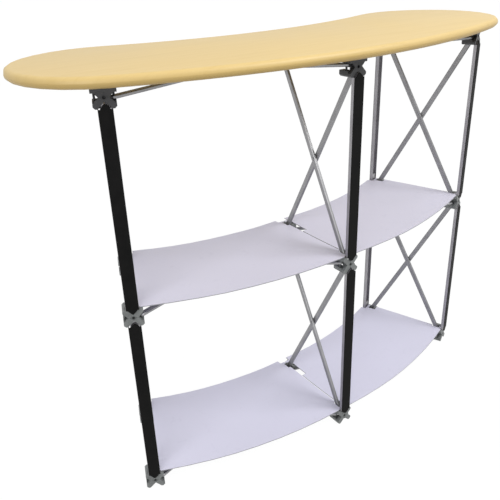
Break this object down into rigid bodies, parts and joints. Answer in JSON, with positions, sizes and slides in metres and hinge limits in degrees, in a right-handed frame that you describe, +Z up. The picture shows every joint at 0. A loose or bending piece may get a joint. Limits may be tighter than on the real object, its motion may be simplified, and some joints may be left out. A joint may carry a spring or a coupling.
{
  "type": "folding portable bar",
  "caption": "Curved folding portable bar: pop-up scissor frame of grey bars and moulded hubs, clip-on posts, white sheet shelves and a pale bull-nosed kidney top.",
  "frame": {"origin": "under the middle of the bounding box, on the floor", "axes": "+X along the longest extent to the right as seen from the convex front, +Y from the convex front to the concave back, +Z up"},
  "size_m": [1.2446, 0.4519, 0.9503],
  "materials": {
    "grey_hub_plastic": "moulded, fine texture",
    "black_hub_plastic": "moulded, fine texture",
    "bar_aluminium": "satin anodised",
    "post_aluminium": "satin anodised, black magnetic tape on the face",
    "white_sheet": "thin flexible sheet, satin",
    "pale_wood": "pale beech veneer, satin lacquer"
  },
  "bodies": {
    "hub_back_left_bottom": {"hub_back_left_bottom": "grey_hub_plastic"},
    "brace_left_lower_rising_front": {"brace_left_lower_rising_front": "bar_aluminium"},
    "brace_left_lower_rising_back": {"brace_left_lower_rising_back": "bar_aluminium"},
    "hub_front_left_bottom": {"hub_front_left_bottom": "grey_hub_plastic"},
    "hub_front_left_mid": {"hub_front_left_mid": "grey_hub_plastic"},
    "hub_back_left_mid": {"hub_back_left_mid": "grey_hub_plastic"},
    "brace_left_upper_rising_front": {"brace_left_upper_rising_front": "bar_aluminium"},
    "brace_left_upper_rising_back": {"brace_left_upper_rising_back": "bar_aluminium"},
    "hub_front_left_top": {"hub_front_left_top": "black_hub_plastic"},
    "hub_back_left_top": {"hub_back_left_top": "black_hub_plastic"},
    "hub_front_centre_bottom": {"hub_front_centre_bottom": "grey_hub_plastic", "shelf_left_bottom": "white_sheet", "shelf_right_bottom": "white_sheet"},
    "brace_centre_lower_rising_back": {"brace_centre_lower_rising_back": "bar_aluminium"},
    "brace_centre_lower_rising_front": {"brace_centre_lower_rising_front": "bar_aluminium"},
    "hub_back_centre_bottom": {"hub_back_centre_bottom": "grey_hub_plastic"},
    "hub_front_centre_mid": {"hub_front_centre_mid": "grey_hub_plastic", "shelf_left_mid": "white_sheet", "shelf_right_mid": "white_sheet"},
    "hub_back_centre_mid": {"hub_back_centre_mid": "grey_hub_plastic"},
    "brace_centre_upper_rising_back": {"brace_centre_upper_rising_back": "bar_aluminium"},
    "brace_centre_upper_rising_front": {"brace_centre_upper_rising_front": "bar_aluminium"},
    "hub_front_centre_top": {"hub_front_centre_top": "black_hub_plastic"},
    "hub_back_centre_top": {"hub_back_centre_top": "black_hub_plastic"},
    "hub_back_right_bottom": {"hub_back_right_bottom": "grey_hub_plastic"},
    "brace_right_lower_rising_front": {"brace_right_lower_rising_front": "bar_aluminium"},
    "brace_right_lower_rising_back": {"brace_right_lower_rising_back": "bar_aluminium"},
    "hub_front_right_bottom": {"hub_front_right_bottom": "grey_hub_plastic"},
    "hub_front_right_mid": {"hub_front_right_mid": "grey_hub_plastic"},
    "hub_back_right_mid": {"hub_back_right_mid": "grey_hub_plastic"},
    "brace_right_upper_rising_front": {"brace_right_upper_rising_front": "bar_aluminium"},
    "brace_right_upper_rising_back": {"brace_right_upper_rising_back": "bar_aluminium"},
    "hub_front_right_top": {"hub_front_right_top": "black_hub_plastic"},
    "hub_back_right_top": {"hub_back_right_top": "black_hub_plastic"},
    "spreader_left_bottom_from_middle": {"spreader_left_bottom_from_middle": "bar_aluminium"},
    "spreader_left_bottom_from_outer": {"spreader_left_bottom_from_outer": "bar_aluminium"},
    "spreader_left_mid_from_middle": {"spreader_left_mid_from_middle": "bar_aluminium"},
    "spreader_left_mid_from_outer": {"spreader_left_mid_from_outer": "bar_aluminium"},
    "spreader_left_top_from_middle": {"spreader_left_top_from_middle": "bar_aluminium"},
    "spreader_left_top_from_outer": {"spreader_left_top_from_outer": "bar_aluminium"},
    "spreader_right_bottom_from_middle": {"spreader_right_bottom_from_middle": "bar_aluminium"},
    "spreader_right_bottom_from_outer": {"spreader_right_bottom_from_outer": "bar_aluminium"},
    "spreader_right_mid_from_middle": {"spreader_right_mid_from_middle": "bar_aluminium"},
    "spreader_right_mid_from_outer": {"spreader_right_mid_from_outer": "bar_aluminium"},
    "spreader_right_top_from_middle": {"spreader_right_top_from_middle": "bar_aluminium"},
    "spreader_right_top_from_outer": {"spreader_right_top_from_outer": "bar_aluminium"},
    "post_front_left_lower": {"post_front_left_lower": "post_aluminium"},
    "post_front_left_upper": {"post_front_left_upper": "post_aluminium"},
    "post_front_centre_lower": {"post_front_centre_lower": "post_aluminium"},
    "post_front_centre_upper": {"post_front_centre_upper": "post_aluminium"},
    "post_front_right_lower": {"post_front_right_lower": "post_aluminium"},
    "post_front_right_upper": {"post_front_right_upper": "post_aluminium"},
    "post_back_left_lower": {"post_back_left_lower": "post_aluminium"},
    "post_back_left_upper": {"post_back_left_upper": "post_aluminium"},
    "post_back_right_lower": {"post_back_right_lower": "post_aluminium"},
    "post_back_right_upper": {"post_back_right_upper": "post_aluminium"},
    "counter_top": {"counter_top": "pale_wood"}
  },
  "joints": [
    {"name": "frame_fold", "type": "hinge", "parent": "hub_front_centre_bottom", "child": "brace_centre_lower_rising_back", "pos_m": [0, -0.16873, 0.0295], "axis": [-1, 0, 0], "range_deg": [0, 55.9], "deforming": ["shelf_left_bottom", "shelf_right_bottom", "shelf_left_mid", "shelf_right_mid"]},
    {"name": "turn_brace_left_lower_rising_front", "type": "hinge", "parent": "hub_back_left_bottom", "child": "brace_left_lower_rising_front", "pos_m": [-0.40985, 0.13754, 0.0295], "axis": [-0.9272, 0.3746, 0], "range_deg": [-55.95, 0]},
    {"name": "turn_brace_left_lower_rising_back", "type": "hinge", "parent": "brace_left_lower_rising_front", "child": "brace_left_lower_rising_back", "pos_m": [-0.4523, 0.03249, 0.242], "axis": [-0.9272, 0.3746, 0], "range_deg": [0, 111.85]},
    {"name": "turn_hub_front_left_bottom", "type": "hinge", "parent": "brace_left_lower_rising_back", "child": "hub_front_left_bottom", "pos_m": [-0.49474, -0.07256, 0.0295], "axis": [-0.9272, 0.3746, 0], "range_deg": [-55.95, 0]},
    {"name": "turn_hub_front_left_mid", "type": "hinge", "parent": "brace_left_lower_rising_front", "child": "hub_front_left_mid", "pos_m": [-0.49474, -0.07256, 0.4545], "axis": [-0.9272, 0.3746, 0], "range_deg": [0, 55.95]},
    {"name": "turn_hub_back_left_mid", "type": "hinge", "parent": "brace_left_lower_rising_back", "child": "hub_back_left_mid", "pos_m": [-0.40985, 0.13754, 0.4545], "axis": [-0.9272, 0.3746, 0], "range_deg": [-55.95, 0]},
    {"name": "turn_brace_left_upper_rising_front", "type": "hinge", "parent": "hub_back_left_mid", "child": "brace_left_upper_rising_front", "pos_m": [-0.40985, 0.13754, 0.4735], "axis": [-0.9272, 0.3746, 0], "range_deg": [-55.95, 0]},
    {"name": "turn_brace_left_upper_rising_back", "type": "hinge", "parent": "brace_left_upper_rising_front", "child": "brace_left_upper_rising_back", "pos_m": [-0.4523, 0.03249, 0.686], "axis": [-0.9272, 0.3746, 0], "range_deg": [0, 111.85]},
    {"name": "turn_hub_front_left_top", "type": "hinge", "parent": "brace_left_upper_rising_front", "child": "hub_front_left_top", "pos_m": [-0.49474, -0.07256, 0.8985], "axis": [-0.9272, 0.3746, 0], "range_deg": [0, 55.95]},
    {"name": "turn_hub_back_left_top", "type": "hinge", "parent": "brace_left_upper_rising_back", "child": "hub_back_left_top", "pos_m": [-0.40985, 0.13754, 0.8985], "axis": [-0.9272, 0.3746, 0], "range_deg": [-55.95, 0]},
    {"name": "turn_brace_centre_lower_rising_front", "type": "hinge", "parent": "brace_centre_lower_rising_back", "child": "brace_centre_lower_rising_front", "pos_m": [0, -0.05543, 0.242], "axis": [-1, 0, 0], "range_deg": [-111.85, 0]},
    {"name": "turn_hub_back_centre_bottom", "type": "hinge", "parent": "brace_centre_lower_rising_front", "child": "hub_back_centre_bottom", "pos_m": [0, 0.05787, 0.0295], "axis": [-1, 0, 0], "range_deg": [0, 55.95]},
    {"name": "turn_hub_front_centre_mid", "type": "hinge", "parent": "brace_centre_lower_rising_front", "child": "hub_front_centre_mid", "pos_m": [0, -0.16873, 0.4545], "axis": [-1, 0, 0], "range_deg": [0, 55.95]},
    {"name": "turn_hub_back_centre_mid", "type": "hinge", "parent": "brace_centre_lower_rising_back", "child": "hub_back_centre_mid", "pos_m": [0, 0.05787, 0.4545], "axis": [-1, 0, 0], "range_deg": [-55.95, 0]},
    {"name": "turn_brace_centre_upper_rising_back", "type": "hinge", "parent": "hub_front_centre_mid", "child": "brace_centre_upper_rising_back", "pos_m": [0, -0.16873, 0.4735], "axis": [-1, 0, 0], "range_deg": [0, 55.95]},
    {"name": "turn_brace_centre_upper_rising_front", "type": "hinge", "parent": "brace_centre_upper_rising_back", "child": "brace_centre_upper_rising_front", "pos_m": [0, -0.05543, 0.686], "axis": [-1, 0, 0], "range_deg": [-111.85, 0]},
    {"name": "turn_hub_front_centre_top", "type": "hinge", "parent": "brace_centre_upper_rising_front", "child": "hub_front_centre_top", "pos_m": [0, -0.16873, 0.8985], "axis": [-1, 0, 0], "range_deg": [0, 55.95]},
    {"name": "turn_hub_back_centre_top", "type": "hinge", "parent": "brace_centre_upper_rising_back", "child": "hub_back_centre_top", "pos_m": [0, 0.05787, 0.8985], "axis": [-1, 0, 0], "range_deg": [-55.95, 0]},
    {"name": "turn_brace_right_lower_rising_front", "type": "hinge", "parent": "hub_back_right_bottom", "child": "brace_right_lower_rising_front", "pos_m": [0.40985, 0.13754, 0.0295], "axis": [-0.9272, -0.3746, 0], "range_deg": [-55.95, 0]},
    {"name": "turn_brace_right_lower_rising_back", "type": "hinge", "parent": "brace_right_lower_rising_front", "child": "brace_right_lower_rising_back", "pos_m": [0.4523, 0.03249, 0.242], "axis": [-0.9272, -0.3746, 0], "range_deg": [0, 111.85]},
    {"name": "turn_hub_front_right_bottom", "type": "hinge", "parent": "brace_right_lower_rising_back", "child": "hub_front_right_bottom", "pos_m": [0.49474, -0.07256, 0.0295], "axis": [-0.9272, -0.3746, 0], "range_deg": [-55.95, 0]},
    {"name": "turn_hub_front_right_mid", "type": "hinge", "parent": "brace_right_lower_rising_front", "child": "hub_front_right_mid", "pos_m": [0.49474, -0.07256, 0.4545], "axis": [-0.9272, -0.3746, 0], "range_deg": [0, 55.95]},
    {"name": "turn_hub_back_right_mid", "type": "hinge", "parent": "brace_right_lower_rising_back", "child": "hub_back_right_mid", "pos_m": [0.40985, 0.13754, 0.4545], "axis": [-0.9272, -0.3746, 0], "range_deg": [-55.95, 0]},
    {"name": "turn_brace_right_upper_rising_front", "type": "hinge", "parent": "hub_back_right_mid", "child": "brace_right_upper_rising_front", "pos_m": [0.40985, 0.13754, 0.4735], "axis": [-0.9272, -0.3746, 0], "range_deg": [-55.95, 0]},
    {"name": "turn_brace_right_upper_rising_back", "type": "hinge", "parent": "brace_right_upper_rising_front", "child": "brace_right_upper_rising_back", "pos_m": [0.4523, 0.03249, 0.686], "axis": [-0.9272, -0.3746, 0], "range_deg": [0, 111.85]},
    {"name": "turn_hub_front_right_top", "type": "hinge", "parent": "brace_right_upper_rising_front", "child": "hub_front_right_top", "pos_m": [0.49474, -0.07256, 0.8985], "axis": [-0.9272, -0.3746, 0], "range_deg": [0, 55.95]},
    {"name": "turn_hub_back_right_top", "type": "hinge", "parent": "brace_right_upper_rising_back", "child": "hub_back_right_top", "pos_m": [0.40985, 0.13754, 0.8985], "axis": [-0.9272, -0.3746, 0], "range_deg": [-55.95, 0]},
    {"name": "turn_spreader_left_bottom_from_middle", "type": "hinge", "parent": "hub_front_centre_bottom", "child": "spreader_left_bottom_from_middle", "pos_m": [-0.017, -0.16873, 0.0236], "axis": [0, 0, 1], "range_deg": [-44.58, 0]},
    {"name": "turn_hub_back_left_bottom", "type": "hinge", "parent": "spreader_left_bottom_from_middle", "child": "hub_back_left_bottom", "pos_m": [-0.39409, 0.13117, 0.0236], "axis": [0, 0, 1], "range_deg": [0, 68.15]},
    {"name": "turn_spreader_left_bottom_from_outer", "type": "hinge", "parent": "hub_front_left_bottom", "child": "spreader_left_bottom_from_outer", "pos_m": [-0.47898, -0.07893, 0.0164], "axis": [0, 0, 1], "range_deg": [0, 44.58]},
    {"name": "turn_spreader_left_mid_from_middle", "type": "hinge", "parent": "hub_front_centre_mid", "child": "spreader_left_mid_from_middle", "pos_m": [-0.017, -0.16873, 0.4676], "axis": [0, 0, 1], "range_deg": [-44.58, 0]},
    {"name": "turn_spreader_left_mid_from_outer", "type": "hinge", "parent": "hub_front_left_mid", "child": "spreader_left_mid_from_outer", "pos_m": [-0.47898, -0.07893, 0.4604], "axis": [0, 0, 1], "range_deg": [0, 44.58]},
    {"name": "turn_spreader_left_top_from_middle", "type": "hinge", "parent": "hub_front_centre_top", "child": "spreader_left_top_from_middle", "pos_m": [-0.017, -0.16873, 0.9116], "axis": [0, 0, 1], "range_deg": [-44.58, 0]},
    {"name": "turn_spreader_left_top_from_outer", "type": "hinge", "parent": "hub_front_left_top", "child": "spreader_left_top_from_outer", "pos_m": [-0.47898, -0.07893, 0.9044], "axis": [0, 0, 1], "range_deg": [0, 44.58]},
    {"name": "turn_spreader_right_bottom_from_middle", "type": "hinge", "parent": "hub_front_centre_bottom", "child": "spreader_right_bottom_from_middle", "pos_m": [0.017, -0.16873, 0.0236], "axis": [0, 0, 1], "range_deg": [0, 44.58]},
    {"name": "turn_hub_back_right_bottom", "type": "hinge", "parent": "spreader_right_bottom_from_middle", "child": "hub_back_right_bottom", "pos_m": [0.39409, 0.13117, 0.0236], "axis": [0, 0, 1], "range_deg": [-68.15, 0]},
    {"name": "turn_spreader_right_bottom_from_outer", "type": "hinge", "parent": "hub_front_right_bottom", "child": "spreader_right_bottom_from_outer", "pos_m": [0.47898, -0.07893, 0.0164], "axis": [0, 0, 1], "range_deg": [-44.58, 0]},
    {"name": "turn_spreader_right_mid_from_middle", "type": "hinge", "parent": "hub_front_centre_mid", "child": "spreader_right_mid_from_middle", "pos_m": [0.017, -0.16873, 0.4676], "axis": [0, 0, 1], "range_deg": [0, 44.58]},
    {"name": "turn_spreader_right_mid_from_outer", "type": "hinge", "parent": "hub_front_right_mid", "child": "spreader_right_mid_from_outer", "pos_m": [0.47898, -0.07893, 0.4604], "axis": [0, 0, 1], "range_deg": [-44.58, 0]},
    {"name": "turn_spreader_right_top_from_middle", "type": "hinge", "parent": "hub_front_centre_top", "child": "spreader_right_top_from_middle", "pos_m": [0.017, -0.16873, 0.9116], "axis": [0, 0, 1], "range_deg": [0, 44.58]},
    {"name": "turn_spreader_right_top_from_outer", "type": "hinge", "parent": "hub_front_right_top", "child": "spreader_right_top_from_outer", "pos_m": [0.47898, -0.07893, 0.9044], "axis": [0, 0, 1], "range_deg": [-44.58, 0]},
    {"name": "turn_post_front_left_lower", "type": "hinge", "parent": "hub_front_left_bottom", "child": "post_front_left_lower", "pos_m": [-0.50223, -0.09111, 0.0403], "axis": [0.9272, -0.3746, 0], "range_deg": [0, 88.05]},
    {"name": "turn_post_front_left_upper", "type": "hinge", "parent": "hub_front_left_mid", "child": "post_front_left_upper", "pos_m": [-0.50223, -0.09111, 0.4843], "axis": [0.9272, -0.3746, 0], "range_deg": [0, 88.05]},
    {"name": "turn_post_front_centre_lower", "type": "hinge", "parent": "hub_front_centre_bottom", "child": "post_front_centre_lower", "pos_m": [0, -0.18873, 0.0403], "axis": [1, 0, 0], "range_deg": [0, 88.05]},
    {"name": "turn_post_front_centre_upper", "type": "hinge", "parent": "hub_front_centre_mid", "child": "post_front_centre_upper", "pos_m": [0, -0.18873, 0.4843], "axis": [1, 0, 0], "range_deg": [0, 88.05]},
    {"name": "turn_post_front_right_lower", "type": "hinge", "parent": "hub_front_right_bottom", "child": "post_front_right_lower", "pos_m": [0.50223, -0.09111, 0.0403], "axis": [0.9272, 0.3746, 0], "range_deg": [0, 88.05]},
    {"name": "turn_post_front_right_upper", "type": "hinge", "parent": "hub_front_right_mid", "child": "post_front_right_upper", "pos_m": [0.50223, -0.09111, 0.4843], "axis": [0.9272, 0.3746, 0], "range_deg": [0, 88.05]},
    {"name": "turn_post_back_left_lower", "type": "hinge", "parent": "hub_back_left_bottom", "child": "post_back_left_lower", "pos_m": [-0.40236, 0.15608, 0.0403], "axis": [-0.9272, 0.3746, 0], "range_deg": [0, 88.05]},
    {"name": "turn_post_back_left_upper", "type": "hinge", "parent": "hub_back_left_mid", "child": "post_back_left_upper", "pos_m": [-0.40236, 0.15608, 0.4843], "axis": [-0.9272, 0.3746, 0], "range_deg": [0, 88.05]},
    {"name": "turn_post_back_right_lower", "type": "hinge", "parent": "hub_back_right_bottom", "child": "post_back_right_lower", "pos_m": [0.40236, 0.15608, 0.0403], "axis": [-0.9272, -0.3746, 0], "range_deg": [0, 88.05]},
    {"name": "turn_post_back_right_upper", "type": "hinge", "parent": "hub_back_right_mid", "child": "post_back_right_upper", "pos_m": [0.40236, 0.15608, 0.4843], "axis": [-0.9272, -0.3746, 0], "range_deg": [0, 88.05]},
    {"name": "top_lift", "type": "slide", "parent": "hub_front_centre_top", "child": "counter_top", "axis": [0, 0, 1], "range_m": [0, 0.3]}
  ],
  "couplings": [
    {"joint": "turn_brace_left_lower_rising_front", "follows": "frame_fold", "ratio": -1},
    {"joint": "turn_brace_left_lower_rising_back", "follows": "frame_fold", "ratio": 2},
    {"joint": "turn_hub_front_left_bottom", "follows": "frame_fold", "ratio": -1},
    {"joint": "turn_hub_front_left_mid", "follows": "frame_fold", "ratio": 1},
    {"joint": "turn_hub_back_left_mid", "follows": "frame_fold", "ratio": -1},
    {"joint": "turn_brace_left_upper_rising_front", "follows": "frame_fold", "ratio": -1},
    {"joint": "turn_brace_left_upper_rising_back", "follows": "frame_fold", "ratio": 2},
    {"joint": "turn_hub_front_left_top", "follows": "frame_fold", "ratio": 1},
    {"joint": "turn_hub_back_left_top", "follows": "frame_fold", "ratio": -1},
    {"joint": "turn_brace_centre_lower_rising_front", "follows": "frame_fold", "ratio": -2},
    {"joint": "turn_hub_back_centre_bottom", "follows": "frame_fold", "ratio": 1},
    {"joint": "turn_hub_front_centre_mid", "follows": "frame_fold", "ratio": 1},
    {"joint": "turn_hub_back_centre_mid", "follows": "frame_fold", "ratio": -1},
    {"joint": "turn_brace_centre_upper_rising_back", "follows": "frame_fold", "ratio": 1},
    {"joint": "turn_brace_centre_upper_rising_front", "follows": "frame_fold", "ratio": -2},
    {"joint": "turn_hub_front_centre_top", "follows": "frame_fold", "ratio": 1},
    {"joint": "turn_hub_back_centre_top", "follows": "frame_fold", "ratio": -1},
    {"joint": "turn_brace_right_lower_rising_front", "follows": "frame_fold", "ratio": -1},
    {"joint": "turn_brace_right_lower_rising_back", "follows": "frame_fold", "ratio": 2},
    {"joint": "turn_hub_front_right_bottom", "follows": "frame_fold", "ratio": -1},
    {"joint": "turn_hub_front_right_mid", "follows": "frame_fold", "ratio": 1},
    {"joint": "turn_hub_back_right_mid", "follows": "frame_fold", "ratio": -1},
    {"joint": "turn_brace_right_upper_rising_front", "follows": "frame_fold", "ratio": -1},
    {"joint": "turn_brace_right_upper_rising_back", "follows": "frame_fold", "ratio": 2},
    {"joint": "turn_hub_front_right_top", "follows": "frame_fold", "ratio": 1},
    {"joint": "turn_hub_back_right_top", "follows": "frame_fold", "ratio": -1},
    {"joint": "turn_spreader_left_bottom_from_middle", "follows": "frame_fold", "ratio": -0.79653},
    {"joint": "turn_hub_back_left_bottom", "follows": "frame_fold", "ratio": 1.2182},
    {"joint": "turn_spreader_left_bottom_from_outer", "follows": "frame_fold", "ratio": 0.79654},
    {"joint": "turn_spreader_left_mid_from_middle", "follows": "frame_fold", "ratio": -0.79653},
    {"joint": "turn_spreader_left_mid_from_outer", "follows": "frame_fold", "ratio": 0.79654},
    {"joint": "turn_spreader_left_top_from_middle", "follows": "frame_fold", "ratio": -0.79653},
    {"joint": "turn_spreader_left_top_from_outer", "follows": "frame_fold", "ratio": 0.79654},
    {"joint": "turn_spreader_right_bottom_from_middle", "follows": "frame_fold", "ratio": 0.79653},
    {"joint": "turn_hub_back_right_bottom", "follows": "frame_fold", "ratio": -1.2182},
    {"joint": "turn_spreader_right_bottom_from_outer", "follows": "frame_fold", "ratio": -0.79654},
    {"joint": "turn_spreader_right_mid_from_middle", "follows": "frame_fold", "ratio": 0.79653},
    {"joint": "turn_spreader_right_mid_from_outer", "follows": "frame_fold", "ratio": -0.79654},
    {"joint": "turn_spreader_right_top_from_middle", "follows": "frame_fold", "ratio": 0.79653},
    {"joint": "turn_spreader_right_top_from_outer", "follows": "frame_fold", "ratio": -0.79654},
    {"joint": "turn_post_front_left_lower", "follows": "frame_fold", "ratio": 1.5742},
    {"joint": "turn_post_front_left_upper", "follows": "frame_fold", "ratio": 1.5742},
    {"joint": "turn_post_front_centre_lower", "follows": "frame_fold", "ratio": 1.5742},
    {"joint": "turn_post_front_centre_upper", "follows": "frame_fold", "ratio": 1.5742},
    {"joint": "turn_post_front_right_lower", "follows": "frame_fold", "ratio": 1.5742},
    {"joint": "turn_post_front_right_upper", "follows": "frame_fold", "ratio": 1.5742},
    {"joint": "turn_post_back_left_lower", "follows": "frame_fold", "ratio": 1.5742},
    {"joint": "turn_post_back_left_upper", "follows": "frame_fold", "ratio": 1.5742},
    {"joint": "turn_post_back_right_lower", "follows": "frame_fold", "ratio": 1.5742},
    {"joint": "turn_post_back_right_upper", "follows": "frame_fold", "ratio": 1.5742}
  ]
}
